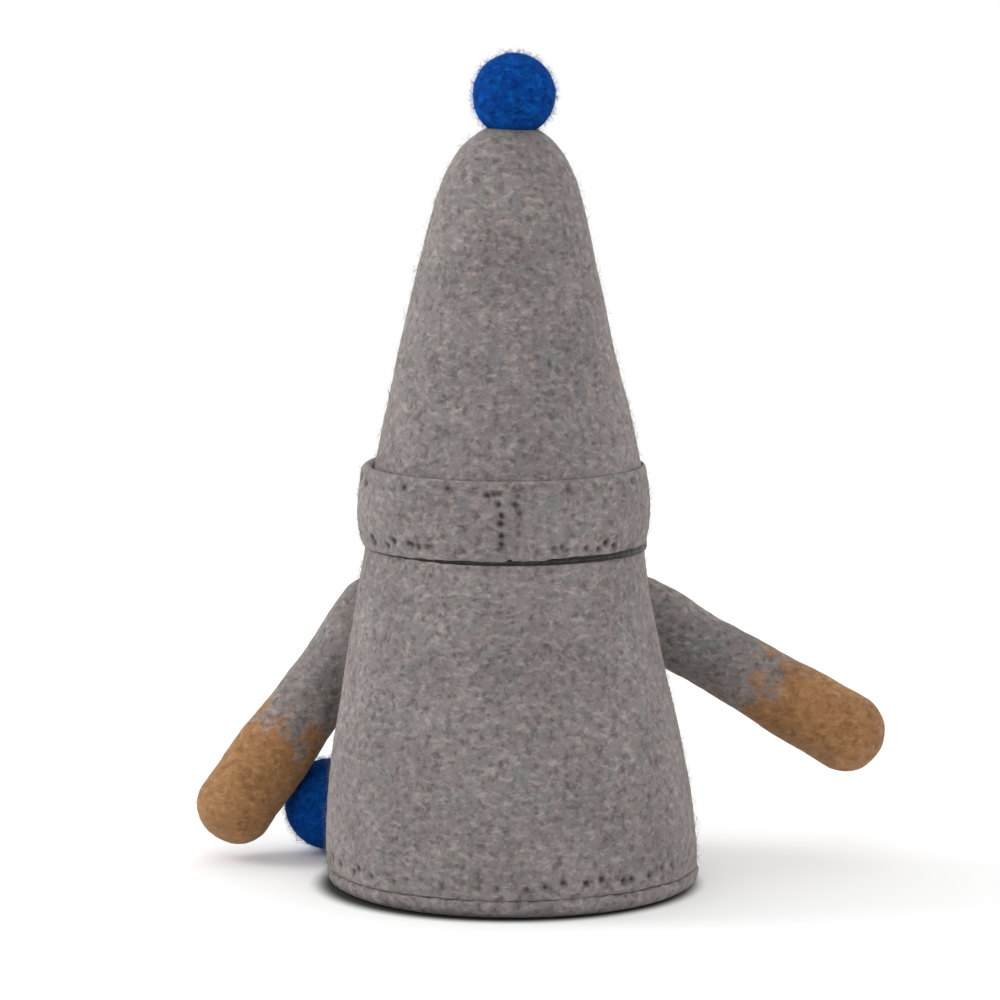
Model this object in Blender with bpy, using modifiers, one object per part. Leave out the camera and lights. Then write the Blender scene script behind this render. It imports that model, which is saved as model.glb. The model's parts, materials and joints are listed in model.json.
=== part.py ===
"""Felted gnome glove puppet, metres, +Z up, standing on its hem with the gnome's face towards -Y.

The hand goes up inside the sleeve and one finger up into the head. The head rides on the sleeve's domed
shoulder, and each arm hangs on an eye pin that goes through the sleeve to a wooden button inside.
"""

import math

import bmesh
import bpy
from mathutils import Matrix, Vector

# Sleeve: a felt cone with a domed shoulder, open at the hem and at the neck
BASE_RADIUS = 0.0600
SEAM_RADIUS = 0.045  # where the hat's brim meets the shoulder
SEAM_Z = 0.109
SLEEVE_WALL = 0.0035
NECK_RADIUS = 0.024

# Hem binding: the felt strip that the sleeve stands on, turned up inside it
HEM_HEIGHT = 0.0055
HEM_DEPTH = 0.0052  # how far the strip reaches in from the sleeve's outside
FACING_TOP = 0.016
FACING_WALL = 0.0014
THREAD_RADIUS = 0.00035

# Head joint: everything in the head slides on spheres about this point
PIVOT_Z = 0.080
GUSSET_WALL = 0.0010
GLIDE = 0.0003  # between the shoulder, the gusset and the head

# Head: hat, brim, core, finger tube, pompom, nose
BRIM_HEIGHT = 0.0255
BRIM_WALL = 0.0038
BRIM_BULGE = 0.0014
BRIM_SLIT = 0.0004
BRIM_SLIT_X = -0.0016
HAT_WALL = 0.0030
HAT_RADIUS = 0.0430  # the crown inside the brim
CONE_TOP_RADIUS = 0.0246
CONE_TOP_Z = 0.2165
HAT_TOP_Z = 0.2455
HAT_TIP_WALL = 0.0028
CORE_CAP = 0.0080  # wool over the end of the finger tube
TUBE_RADIUS = 0.0102
TUBE_WALL = 0.0012
TUBE_TOP_Z = 0.186
STUFFING_CLEARANCE = 0.0034  # under the hat's tip, for the pompom's knot
POMPOM_RADIUS = 0.0132
POMPOM_SINK = 0.0045  # how far it sits down into the hat's top
POMPOM_CENTRE = Vector((-0.0022, 0.0, HAT_TOP_Z + POMPOM_RADIUS - POMPOM_SINK))
POMPOM_STITCH = 0.0005
NOSE_RADIUS = 0.0110
NOSE_Z = 0.1095

# Beard: a root under the brim, and the hanging wool hinged below it
BEARD_GAP = 0.0027  # in front of the sleeve at the top, and twice that at the tip
BEARD_THICKNESS = 0.0075
BEARD_HALF_ANGLE = math.radians(29)
BEARD_ROOT_Z = 0.0930
BEARD_TIP_Z = 0.0440
BEARD_HINGE_Y = -0.0616
ROOT_ROW = 0.0060  # the tallest row of facets on the root, which follows a sphere

# Arms: felted wool on a wire, hung on an eye pin
SHOULDER_Z = 0.0790  # of the point on the wall behind the arm
SHOULDER_AZIMUTH = math.radians(45)  # forwards from each side
ARM_RADIUS = 0.0120
MITTEN_RADIUS = 0.0125
ARM_LENGTH = 0.0785  # from the eye to the centre of the mitten's round end
MITTEN_START = 0.052
PLUG_LENGTH = 0.009
PLUG_RADIUS = 0.0078
ARM_CLEARANCE = 0.0007
WIRE_RADIUS = 0.0006
WIRE_LENGTH = 0.072
EYE_RADIUS = 0.0022
EYE_CAVITY = 0.0058
BORE_CLEARANCE = 0.0004
SLOT_ANGLES = (math.radians(-4), math.radians(64))
BUTTON_RADIUS = 0.0080
BUTTON_THICKNESS = 0.0025
PIN_TAIL = 0.0050

# Arm poses at rest: swing round the pin from straight down, and lift away from the wall
REST_SWING = {"left": math.radians(28.7), "right": math.radians(-49.5)}
REST_LIFT = {"left": math.radians(11), "right": math.radians(26)}

# Ball under the left hand, placed round and along the arm
BALL_RADIUS = 0.0153
BALL_ALONG = 0.0610
BALL_ROUND = math.radians(158)

GAP = 0.0003  # between felted or sewn pieces that touch
BEVEL = 0.0010
TURN_STEPS = 40
FINE_STEPS = 24

COLOURS = {
    "grey_felt": ((0.235, 0.208, 0.200), 0.95, 0.0),
    "tan_felt": ((0.340, 0.190, 0.080), 0.95, 0.0),
    "blue_felt": ((0.004, 0.060, 0.280), 0.95, 0.0),
    "white_wool": ((0.720, 0.690, 0.630), 0.95, 0.0),
    "knit": ((0.090, 0.085, 0.085), 0.90, 0.0),
    "thread": ((0.150, 0.140, 0.135), 0.80, 0.0),
    "wood": ((0.480, 0.300, 0.150), 0.60, 0.0),
    "steel": ((0.560, 0.560, 0.580), 0.35, 1.0),
    "card": ((0.420, 0.310, 0.200), 0.85, 0.0),
}


# ---------------------------------------------------------------- scene and collections

def clear_scene():
    for old in list(bpy.data.objects):
        bpy.data.objects.remove(old, do_unlink=True)


def collection(name):
    made = bpy.data.collections.new(name)
    bpy.context.scene.collection.children.link(made)
    return made


def finish(name):
    colour, roughness, metallic = COLOURS[name]
    made = bpy.data.materials.get(name)
    if made is None:
        made = bpy.data.materials.new(name)
        made.use_nodes = True
        shader = made.node_tree.nodes["Principled BSDF"]
        shader.inputs["Base Color"].default_value = (*colour, 1.0)
        shader.inputs["Roughness"].default_value = roughness
        shader.inputs["Metallic"].default_value = metallic
    return made


def add(name, data, material, parent=None, at=(0, 0, 0), turn=(0, 0, 0)):
    made = bpy.data.objects.new(name, data)
    PARTS.objects.link(made)
    if material:
        data.materials.append(finish(material))
    made.parent = parent
    made.location = at
    made.rotation_euler = turn
    return made


def axis_empty(name, at, turn=(0, 0, 0), parent=None):
    made = bpy.data.objects.new(name, None)
    PARTS.objects.link(made)
    made.empty_display_size = 0.01
    made.parent = parent
    made.location = at
    made.rotation_euler = turn
    return made


# ---------------------------------------------------------------- shapes

def bezier(start, first, second, end, count):
    """Points on a cubic curve in the (radius, height) plane, both ends included."""
    points = []
    for i in range(count + 1):
        t = i / count
        a, b, c, d = (1 - t) ** 3, 3 * t * (1 - t) ** 2, 3 * t * t * (1 - t), t**3
        points.append(
            tuple(a * start[k] + b * first[k] + c * second[k] + d * end[k] for k in (0, 1))
        )
    return points


def arc(centre_z, radius, start, end, count):
    """Points on a circle centred on the axis; the angles are measured up from the horizontal."""
    return [
        (radius * math.cos(a), centre_z + radius * math.sin(a))
        for a in (start + (end - start) * i / count for i in range(count + 1))
    ]


def turned(name, profile, material, parent=None, at=(0, 0, 0), turn=(0, 0, 0), steps=TURN_STEPS):
    """A turned solid. The profile closes on itself, or along the axis if it starts and ends there."""
    around = zip(profile, profile[1:] + profile[:1])
    if sum(r0 * z1 - r1 * z0 for (r0, z0), (r1, z1) in around) > 0:
        profile = profile[::-1]  # down the outside, so that the faces point outwards
    mesh = bpy.data.meshes.new(name)
    count = len(profile)
    closed = profile[0][0] > 1e-9
    edges = [(i, (i + 1) % count) for i in range(count if closed else count - 1)]
    mesh.from_pydata([(r, 0, z) for r, z in profile], edges, [])
    made = add(name, mesh, material, parent, at, turn)
    screw = made.modifiers.new("turn", "SCREW")
    screw.axis = "Z"
    screw.angle = math.tau
    screw.steps = steps
    screw.render_steps = steps
    screw.use_merge_vertices = True
    screw.merge_threshold = 0.00001
    screw.use_smooth_shade = True
    return made


def wire(name, points, radius, material, parent=None, cyclic=False):
    """A round wire or thread through the points."""
    curve = bpy.data.curves.new(name, "CURVE")
    curve.dimensions = "3D"
    curve.bevel_depth = radius
    curve.bevel_resolution = 1
    curve.use_fill_caps = True
    spline = curve.splines.new("POLY")
    spline.points.add(len(points) - 1)
    for point, place in zip(spline.points, points):
        point.co = (*place, 1)
    spline.use_cyclic_u = cyclic
    return add(name, curve, material, parent)


def eye(radius, count=14):
    """An open eye in the XZ plane, from the shank below it almost all the way round."""
    start, end = math.radians(-90), math.radians(232)
    angles = (start + (end - start) * i / count for i in range(count + 1))
    return [(radius * math.cos(a), 0, radius * math.sin(a)) for a in angles]


def cylinder(name, radius, low, high, steps=FINE_STEPS):
    """A plain cylinder along Z as a cutter."""
    mesh = bpy.data.meshes.new(name)
    form = bmesh.new()
    bmesh.ops.create_cone(
        form, cap_ends=True, segments=steps, radius1=radius, radius2=radius, depth=high - low,
        matrix=Matrix.Translation((0, 0, (low + high) / 2)),
    )
    form.to_mesh(mesh)
    form.free()
    return cutter(name, mesh)


def ball(name, radius, centre=(0, 0, 0), steps=FINE_STEPS):
    mesh = bpy.data.meshes.new(name)
    form = bmesh.new()
    bmesh.ops.create_uvsphere(
        form, u_segments=steps, v_segments=steps // 2, radius=radius,
        matrix=Matrix.Translation(centre),
    )
    form.to_mesh(mesh)
    form.free()
    return cutter(name, mesh)


def prism(name, outline, half_width):
    """The outline in the YZ plane, pulled out along X both ways."""
    mesh = bpy.data.meshes.new(name)
    form = bmesh.new()
    face = form.faces.new([form.verts.new((-half_width, y, z)) for y, z in outline])
    pulled = bmesh.ops.extrude_face_region(form, geom=[face])
    moved = [v for v in pulled["geom"] if isinstance(v, bmesh.types.BMVert)]
    bmesh.ops.translate(form, verts=moved, vec=(2 * half_width, 0, 0))
    bmesh.ops.recalc_face_normals(form, faces=form.faces)
    form.to_mesh(mesh)
    form.free()
    return cutter(name, mesh)


def cutter(name, mesh):
    made = bpy.data.objects.new(name, mesh)
    CUTTERS.objects.link(made)
    made.hide_render = True
    made.display_type = "WIRE"
    return made


def cut(piece, tool, operation="DIFFERENCE"):
    boolean = piece.modifiers.new(tool.name, "BOOLEAN")
    boolean.operation = operation
    boolean.object = tool
    boolean.solver = "EXACT"


# ---------------------------------------------------------------- sizes worked out from the values above

def sleeve_outside(count=12):
    """The sleeve's outside from the hem binding up to the brim's seam."""
    foot = HEM_HEIGHT + GAP
    rise = SEAM_Z - foot
    return bezier(
        (BASE_RADIUS, foot),
        (BASE_RADIUS, foot + 0.36 * rise),
        (SEAM_RADIUS + 0.32 * (BASE_RADIUS - SEAM_RADIUS), foot + 0.61 * rise),
        (SEAM_RADIUS, SEAM_Z),
        count,
    )


def sleeve_at(height):
    """The sleeve's outer radius at a height, and how much it shrinks per metre there."""
    line = sleeve_outside(200)
    for (r0, z0), (r1, z1) in zip(line, line[1:]):
        if z0 <= height <= z1:
            return r0 + (r1 - r0) * (height - z0) / (z1 - z0), (r0 - r1) / (z1 - z0)
    return (SEAM_RADIUS, 0.0) if height > SEAM_Z else (BASE_RADIUS, 0.0)


def up_from_pivot(radius, at_radius):
    """The angle at which a sphere about the head's pivot has that distance from the axis."""
    return math.acos(at_radius / radius)


SHOULDER_SPHERE = math.hypot(SEAM_RADIUS, SEAM_Z - PIVOT_Z)
GUSSET_INNER = SHOULDER_SPHERE + GLIDE
GUSSET_OUTER = GUSSET_INNER + GUSSET_WALL
SEAT_SPHERE = GUSSET_OUTER + GLIDE
BRIM_INNER = HAT_RADIUS + GAP
BRIM_OUTER = BRIM_INNER + BRIM_WALL - BRIM_BULGE
BRIM_LOW_Z = PIVOT_Z + math.sqrt(SEAT_SPHERE**2 - BRIM_OUTER**2)
BRIM_TOP_Z = BRIM_LOW_Z + BRIM_HEIGHT
CORE_TOP_Z = TUBE_TOP_Z + CORE_CAP
TIP_INSIDE_Z = POMPOM_CENTRE.z - POMPOM_RADIUS - GAP - HAT_TIP_WALL
EYE_TO_WALL = ARM_RADIUS + ARM_CLEARANCE


# ---------------------------------------------------------------- sleeve and hem

def make_sleeve():
    dome_start = up_from_pivot(SHOULDER_SPHERE, SEAM_RADIUS)
    dome_end = up_from_pivot(SHOULDER_SPHERE, NECK_RADIUS)
    outside = sleeve_outside()
    outside[0] = (BASE_RADIUS - BEVEL, outside[0][1])
    outside.insert(1, (BASE_RADIUS, outside[0][1] + BEVEL))
    dome = arc(PIVOT_Z, SHOULDER_SPHERE, dome_start, dome_end, 5)[1:]
    inner_sphere = SHOULDER_SPHERE - SLEEVE_WALL
    under_start = up_from_pivot(inner_sphere, NECK_RADIUS)
    under_end = up_from_pivot(inner_sphere, SEAM_RADIUS - SLEEVE_WALL)
    under = arc(PIVOT_Z, inner_sphere, under_start, under_end, 5)
    inside = [(r - SLEEVE_WALL, z) for r, z in reversed(sleeve_outside()[:-1])]
    sleeve = turned(
        "body_sleeve", outside + dome + under + inside, "grey_felt"
    )
    for side in ("left", "right"):
        hole = cylinder(f"{side}_pin_hole", WIRE_RADIUS + 2 * BORE_CLEARANCE, -0.024, 0.0, 16)
        hole.parent = SHOULDERS[side]
        cut(sleeve, hole)


def make_hem():
    top = HEM_HEIGHT
    outer = BASE_RADIUS
    inner = outer - HEM_DEPTH
    facing = sleeve_at(FACING_TOP)[0] - SLEEVE_WALL - GAP
    profile = [
        (facing, top),
        (facing, FACING_TOP),
        (facing - FACING_WALL, FACING_TOP),
        (facing - FACING_WALL, top),
        (inner, top - BEVEL),
        (inner, BEVEL),
        (inner + BEVEL, 0),
        (outer - BEVEL, 0),
        (outer, BEVEL),
        (outer, top - BEVEL),
        (outer - BEVEL, top),
    ]
    turned("hem_binding", profile, "grey_felt")
    ring = [
        ((outer + THREAD_RADIUS / 2) * math.cos(a), (outer + THREAD_RADIUS / 2) * math.sin(a), top + GAP / 2)
        for a in (math.tau * i / TURN_STEPS for i in range(TURN_STEPS))
    ]
    wire("hem_thread", ring, THREAD_RADIUS, "thread", cyclic=True)


# ---------------------------------------------------------------- neck and head

def make_gusset():
    """A knitted zone of a sphere that lets the head nod on the shoulder."""
    edges = (SEAM_RADIUS, NECK_RADIUS)
    outer = [up_from_pivot(GUSSET_OUTER, r) for r in edges]
    inner = [up_from_pivot(GUSSET_INNER, r) for r in edges]
    profile = arc(-0.0, GUSSET_OUTER, outer[1], outer[0], 5) + arc(0.0, GUSSET_INNER, inner[0], inner[1], 5)
    turned("neck_gusset", profile, "knit", NOD)


def hat_outside():
    """The crown from under the brim to its tip, going up."""
    slope = (HAT_RADIUS - CONE_TOP_RADIUS) / (CONE_TOP_Z - BRIM_TOP_Z)
    cap = HAT_TOP_Z - CONE_TOP_Z
    cone = [(HAT_RADIUS, BRIM_TOP_Z), (CONE_TOP_RADIUS, CONE_TOP_Z)]
    tip = bezier(
        cone[1],
        (CONE_TOP_RADIUS - slope * 0.46 * cap, CONE_TOP_Z + 0.46 * cap),
        (0.61 * CONE_TOP_RADIUS, HAT_TOP_Z),
        (0.0, HAT_TOP_Z),
        7,
    )
    return cone[:1] + tip


def hat_inside():
    """The crown's inside, going up; its tip is low enough to leave a wall under the pompom's dimple."""
    top = TIP_INSIDE_Z
    radius = CONE_TOP_RADIUS - HAT_WALL
    tip = bezier(
        (radius, CONE_TOP_Z),
        (radius - 0.002, CONE_TOP_Z + 0.5 * (top - CONE_TOP_Z)),
        (0.60 * radius, top),
        (0.0, top),
        6,
    )
    return [(HAT_RADIUS - HAT_WALL, BRIM_TOP_Z)] + tip


def inside_at(height):
    line = hat_inside()
    for (r0, z0), (r1, z1) in zip(line, line[1:]):
        if z0 <= height <= z1 and z1 > z0:
            return r0 + (r1 - r0) * (height - z0) / (z1 - z0)
    return HAT_RADIUS - HAT_WALL


def shifted(profile):
    """Heights measured from the head's pivot."""
    return [(r, z - PIVOT_Z) for r, z in profile]


def make_hat():
    foot_outer = up_from_pivot(SEAT_SPHERE, HAT_RADIUS)
    foot_inner = up_from_pivot(SEAT_SPHERE, HAT_RADIUS - HAT_WALL)
    foot = arc(0.0, SEAT_SPHERE, foot_outer, foot_inner, 1)
    profile = shifted(hat_outside()[::-1]) + foot + shifted(hat_inside())
    hat = turned("hat_crown", profile, "grey_felt", TILT)
    seat = POMPOM_CENTRE - Vector((0, 0, PIVOT_Z))
    dimple = ball("pompom_dimple", POMPOM_RADIUS + GAP, seat)
    low = TIP_INSIDE_Z - PIVOT_Z - 2 * HAT_TIP_WALL
    hole = cylinder("pompom_hole", POMPOM_STITCH + BORE_CLEARANCE, low, seat.z, 12)
    hole.location = (seat.x, seat.y, 0)
    for tool in (dimple, hole):
        tool.parent = TILT
        cut(hat, tool)


def make_brim():
    """The turned-up band round the crown, its two ends meeting at the back."""
    low = up_from_pivot(SEAT_SPHERE, BRIM_OUTER - BEVEL)
    low_in = up_from_pivot(SEAT_SPHERE, BRIM_INNER)
    side = bezier(
        (BRIM_OUTER, BRIM_TOP_Z - BEVEL),
        (BRIM_OUTER + 4 / 3 * BRIM_BULGE, BRIM_TOP_Z - 0.3 * BRIM_HEIGHT),
        (BRIM_OUTER + 4 / 3 * BRIM_BULGE, BRIM_LOW_Z + 0.3 * BRIM_HEIGHT),
        (BRIM_OUTER, BRIM_LOW_Z + BEVEL),
        6,
    )
    profile = (
        [(BRIM_INNER, BRIM_TOP_Z - PIVOT_Z), (BRIM_OUTER - BEVEL, BRIM_TOP_Z - PIVOT_Z)]
        + shifted(side)
        + arc(0.0, SEAT_SPHERE, low, low_in, 2)
    )
    brim = turned("hat_brim", profile, "grey_felt", TILT)
    slit = prism("brim_slit", [(0.030, 0.0), (0.060, 0.0), (0.060, 0.080), (0.030, 0.080)], BRIM_SLIT / 2)
    slit.location.x = BRIM_SLIT_X
    slit.parent = TILT
    cut(brim, slit)
    stitches = 8
    reach = BRIM_OUTER + BRIM_BULGE + THREAD_RADIUS + GAP
    lace = []
    for i in range(stitches):
        z = BRIM_LOW_Z - PIVOT_Z + BRIM_HEIGHT * (i + 1) / (stitches + 1)
        x = BRIM_SLIT_X + (0.0016 if i % 2 else -0.0016)
        lace.append((x, math.sqrt(reach**2 - x**2), z))
    wire("brim_seam_thread", lace, THREAD_RADIUS, "thread", TILT)


def make_head_filling():
    bore = TUBE_RADIUS + GAP
    seat = arc(0.0, SEAT_SPHERE, up_from_pivot(SEAT_SPHERE, HAT_RADIUS - HAT_WALL - GAP),
               up_from_pivot(SEAT_SPHERE, bore), 6)
    side = [(inside_at(z) - GAP, z - PIVOT_Z) for z in (CORE_TOP_Z, BRIM_TOP_Z)]
    core = [(0.0, side[0][1])] + side + seat + [(bore, TUBE_TOP_Z + GAP - PIVOT_Z), (0.0, TUBE_TOP_Z + GAP - PIVOT_Z)]
    turned("head_core", core, "white_wool", TILT)
    foot = math.sqrt(SEAT_SPHERE**2 - TUBE_RADIUS**2)
    top = TUBE_TOP_Z - PIVOT_Z
    tube = [(TUBE_RADIUS, top), (TUBE_RADIUS, foot), (TUBE_RADIUS - TUBE_WALL, foot), (TUBE_RADIUS - TUBE_WALL, top)]
    turned("finger_tube", tube, "card", TILT, steps=FINE_STEPS)
    low, high = CORE_TOP_Z + GAP, TIP_INSIDE_Z - STUFFING_CLEARANCE
    heights = [high - (high - low) * i / 4 for i in range(5)]
    fill = [(0.0, high - PIVOT_Z)] + [(inside_at(z) - GAP, z - PIVOT_Z) for z in heights] + [(0.0, low - PIVOT_Z)]
    turned("hat_stuffing", fill, "white_wool", TILT, steps=FINE_STEPS)


def sphere_profile(radius, centre_z, count=12):
    return [
        (max(0.0, radius * math.cos(a)) if 0 < i < count else 0.0, centre_z + radius * math.sin(a))
        for i, a in ((i, math.pi / 2 - math.pi * i / count) for i in range(count + 1))
    ]


def make_pompom():
    seat = POMPOM_CENTRE - Vector((0, 0, PIVOT_Z))
    pompom = turned("hat_pompom", sphere_profile(POMPOM_RADIUS, 0), "blue_felt", TILT, at=seat, steps=FINE_STEPS)
    hole = cylinder("pompom_bore", POMPOM_STITCH + BORE_CLEARANCE, -2 * POMPOM_RADIUS, 0.002, 12)
    hole.location = seat
    hole.parent = TILT
    cut(pompom, hole)
    knot_z = TIP_INSIDE_Z - PIVOT_Z - 4 * POMPOM_STITCH
    knot = [
        (seat.x + 0.0016 * (math.cos(a) - 1), 0.0016 * math.sin(a), knot_z)
        for a in (math.radians(300 - 30 * i) for i in range(11))
    ]
    wire("pompom_thread", knot + [(seat.x, 0, seat.z)], POMPOM_STITCH, "thread", TILT)


def make_nose():
    reach = SEAT_SPHERE + NOSE_RADIUS
    y = -math.sqrt(reach**2 - (NOSE_Z - PIVOT_Z) ** 2)
    turned("nose", sphere_profile(NOSE_RADIUS, 0), "tan_felt", TILT, at=(0, y, NOSE_Z - PIVOT_Z), steps=FINE_STEPS)
    space = ball("nose_space", NOSE_RADIUS + GAP, (0, y, NOSE_Z - PIVOT_Z))
    space.parent = TILT
    return space


# ---------------------------------------------------------------- beard

def slab(name, rows, material, parent, origin):
    """A curved slab in front of the sleeve. Each row gives height, inner radius, thickness and half angle."""
    mesh = bpy.data.meshes.new(name)
    form = bmesh.new()
    across = 8
    rings = []
    for z, inner, thick, half in rows:
        front, back = [], []
        for i in range(across + 1):
            a = -half + 2 * half * i / across
            bow = math.sqrt(max(0.0, 1 - (abs(2 * i / across - 1)) ** 2.6))
            outer = inner + thick * (0.35 + 0.65 * bow)
            front.append(form.verts.new(Vector((outer * math.sin(a), -outer * math.cos(a), z)) - origin))
            back.append(form.verts.new(Vector((inner * math.sin(a), -inner * math.cos(a), z)) - origin))
        rings.append(front + back[::-1])
    count = len(rings[0])
    for low, high in zip(rings, rings[1:]):
        for i in range(count):
            j = (i + 1) % count
            form.faces.new((low[i], low[j], high[j], high[i]))
    form.faces.new(rings[0])
    form.faces.new(rings[-1])
    bmesh.ops.recalc_face_normals(form, faces=form.faces)
    form.to_mesh(mesh)
    form.free()
    return add(name, mesh, material, parent)


def make_beard(nose_space):
    root_rows = []
    top = PIVOT_Z + math.sqrt(SEAT_SPHERE**2 - BRIM_OUTER**2) - 2 * GAP
    steps = math.ceil((top - BEARD_ROOT_Z) / ROOT_ROW)
    for i in range(steps + 1):
        z = BEARD_ROOT_Z + (top - BEARD_ROOT_Z) * i / steps
        inner = math.sqrt(SEAT_SPHERE**2 - (z - PIVOT_Z) ** 2)
        root_rows.append((z, inner, BEARD_THICKNESS * (1.0 - 0.35 * i / steps), BEARD_HALF_ANGLE))
    root = slab("beard_root", root_rows, "white_wool", TILT, Vector((0, 0, PIVOT_Z)))
    cut(root, nose_space)
    rows = []
    steps = 8
    for i in range(steps + 1):
        share = i / steps
        z = BEARD_ROOT_Z - 2 * GAP - (BEARD_ROOT_Z - BEARD_TIP_Z) * share
        inner = max(sleeve_at(z)[0] + BEARD_GAP * (1 + share), root_rows[0][1])
        width = math.sqrt(max(0.0, 1 - share**2.2)) * 0.93 + 0.07
        rows.append((z, inner, BEARD_THICKNESS * (1.0 - 0.55 * share**2), BEARD_HALF_ANGLE * width))
    slab("beard", rows, "white_wool", HANG, Vector((0, BEARD_HINGE_Y, BEARD_ROOT_Z)))


# ---------------------------------------------------------------- arms

def shoulder_axes(side):
    """The eye's place and the axes of the shoulder: X along the wall, Y up the wall, Z out of it."""
    radius, shrink = sleeve_at(SHOULDER_Z)
    sign = 1 if side == "left" else -1
    out = Vector((sign * math.cos(SHOULDER_AZIMUTH), -math.sin(SHOULDER_AZIMUTH), 0))
    on_wall = out * radius + Vector((0, 0, SHOULDER_Z))
    normal = (out + Vector((0, 0, shrink))).normalized()
    along = sign * Vector((-out.y, out.x, 0)) * sign
    up = normal.cross(along)
    turn = Matrix((along, up, normal)).transposed().to_euler()
    return on_wall + normal * EYE_TO_WALL, turn


def arm_outside(radius, start, end, count):
    """A nearly straight side that swells a little towards the hand."""
    return [
        (radius + (MITTEN_RADIUS - ARM_RADIUS) * (start + (end - start) * i / count) / ARM_LENGTH,
         -(start + (end - start) * i / count))
        for i in range(count + 1)
    ]


def plug(gap):
    """The sleeve's reduced end, which the mitten is felted over, going down; with a gap, the mitten's hollow."""
    top, foot = -MITTEN_START - gap, -MITTEN_START - PLUG_LENGTH - gap
    radius = PLUG_RADIUS + gap
    return [(radius, top), (radius, foot + BEVEL), (radius - BEVEL, foot), (0.0, foot)]


def make_arm(side):
    arm = ARMS[side]
    bore = WIRE_RADIUS + BORE_CLEARANCE
    root = arc(0.0, ARM_RADIUS, math.pi / 2, 0.0, 6)
    root[0] = (0.0, ARM_RADIUS)
    straight = arm_outside(ARM_RADIUS, 0.0, MITTEN_START, 4)[1:]
    felt = turned(f"{side}_arm_felt", root + straight + plug(0.0), "grey_felt", arm, steps=FINE_STEPS)

    side_line = arm_outside(ARM_RADIUS, MITTEN_START + GAP, ARM_LENGTH, 3)
    round_end = arc(-ARM_LENGTH, MITTEN_RADIUS, 0.0, -math.pi / 2, 6)[1:]
    round_end[-1] = (0.0, -ARM_LENGTH - MITTEN_RADIUS)
    mitten = turned(
        f"{side}_mitten", plug(GAP)[::-1] + side_line + round_end, "tan_felt", arm, steps=FINE_STEPS
    )

    cavity = ball(f"{side}_eye_cavity", EYE_CAVITY, steps=16)
    low, high = SLOT_ANGLES
    reach = 1.5 * ARM_RADIUS
    fan = [(0.0, 0.0)] + [
        (reach * math.cos(a), reach * math.sin(a)) for a in (low + (high - low) * i / 4 for i in range(5))
    ]
    slot = prism(f"{side}_pin_slot", fan, WIRE_RADIUS + 1.5 * BORE_CLEARANCE)
    hole = cylinder(f"{side}_wire_bore", bore, -WIRE_LENGTH - BORE_CLEARANCE, 0.0, 12)
    for tool in (cavity, slot, hole):
        tool.parent = arm
        cut(felt, tool)
    cut(mitten, hole)

    shank = [(0, 0, -WIRE_LENGTH), (0, 0, -EYE_RADIUS - 0.0012)]
    ring = [(0, x, z) for x, _, z in eye(EYE_RADIUS)]
    wire(f"{side}_arm_wire", shank + ring, WIRE_RADIUS, "steel", arm)


def make_shoulder(side):
    shoulder = SWINGS[side]
    inner_wall = EYE_TO_WALL + SLEEVE_WALL
    bow = BUTTON_RADIUS**2 / (2 * (sleeve_at(SHOULDER_Z)[0] - SLEEVE_WALL))
    face = -(inner_wall + bow + BORE_CLEARANCE)
    hole = WIRE_RADIUS + BORE_CLEARANCE
    rim = BUTTON_RADIUS
    back = face - BUTTON_THICKNESS
    profile = [
        (hole, face), (rim - BEVEL / 2, face), (rim, face - BEVEL / 2),
        (rim, back + BEVEL / 2), (rim - BEVEL / 2, back), (hole, back),
    ]
    turned(f"{side}_shoulder_button", profile, "wood", shoulder, steps=FINE_STEPS)
    tail_z = back - BORE_CLEARANCE - WIRE_RADIUS
    ring = [(x, 0, z - EYE_RADIUS) for x, _, z in eye(EYE_RADIUS)]
    path = [(PIN_TAIL, 0, tail_z), (0.0007, 0, tail_z), (0, 0, tail_z + 0.0007), (0, 0, -2 * EYE_RADIUS - 0.0012)]
    wire(f"{side}_shoulder_pin", path + ring, WIRE_RADIUS, "steel", shoulder)


def make_ball():
    arm = ARMS["left"]
    reach = ARM_RADIUS + (MITTEN_RADIUS - ARM_RADIUS) * BALL_ALONG / ARM_LENGTH + BALL_RADIUS + GAP
    centre = Vector((reach * math.cos(BALL_ROUND), reach * math.sin(BALL_ROUND), -BALL_ALONG))
    made = turned("held_ball", sphere_profile(BALL_RADIUS, 0), "blue_felt", arm, at=centre, steps=FINE_STEPS)
    return made


clear_scene()
PARTS = collection("gnome_glove_puppet")
CUTTERS = collection("cutters")
NOD = axis_empty("head_nod_axis", (0, 0, PIVOT_Z))
TILT = axis_empty("head_tilt_axis", (0, 0, 0), parent=NOD)
HANG = axis_empty("beard_axis", (0, BEARD_HINGE_Y, BEARD_ROOT_Z - PIVOT_Z), parent=TILT)
SHOULDERS, SWINGS, ARMS = {}, {}, {}
for side in ("left", "right"):
    place, turn = shoulder_axes(side)
    SHOULDERS[side] = axis_empty(f"{side}_shoulder_axis", place, turn)
    SWINGS[side] = axis_empty(f"{side}_swing_axis", (0, 0, 0), (0, 0, REST_SWING[side]), SHOULDERS[side])
    ARMS[side] = axis_empty(
        f"{side}_arm_axis", (0, 0, 0), (math.radians(-90) - REST_LIFT[side], 0, 0), SWINGS[side]
    )
make_sleeve()
make_hem()
make_gusset()
make_hat()
make_brim()
make_head_filling()
make_pompom()
make_beard(make_nose())
for side in ("left", "right"):
    make_shoulder(side)
    make_arm(side)
make_ball()
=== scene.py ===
"""A felted wool gnome glove puppet in metres, +Z up, facing -Y, standing on its hem on a pale floor.

The file follows the puppet as it is put together: the sleeve and its hem, the shoulder pins, the neck, the
head's filling, the hat with its brim and pompom, the nose and beard, the arms, and the ball in the left hand.
"""

import json
import math

import bpy
import numpy as np
from mathutils import Matrix, Vector, noise


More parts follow.
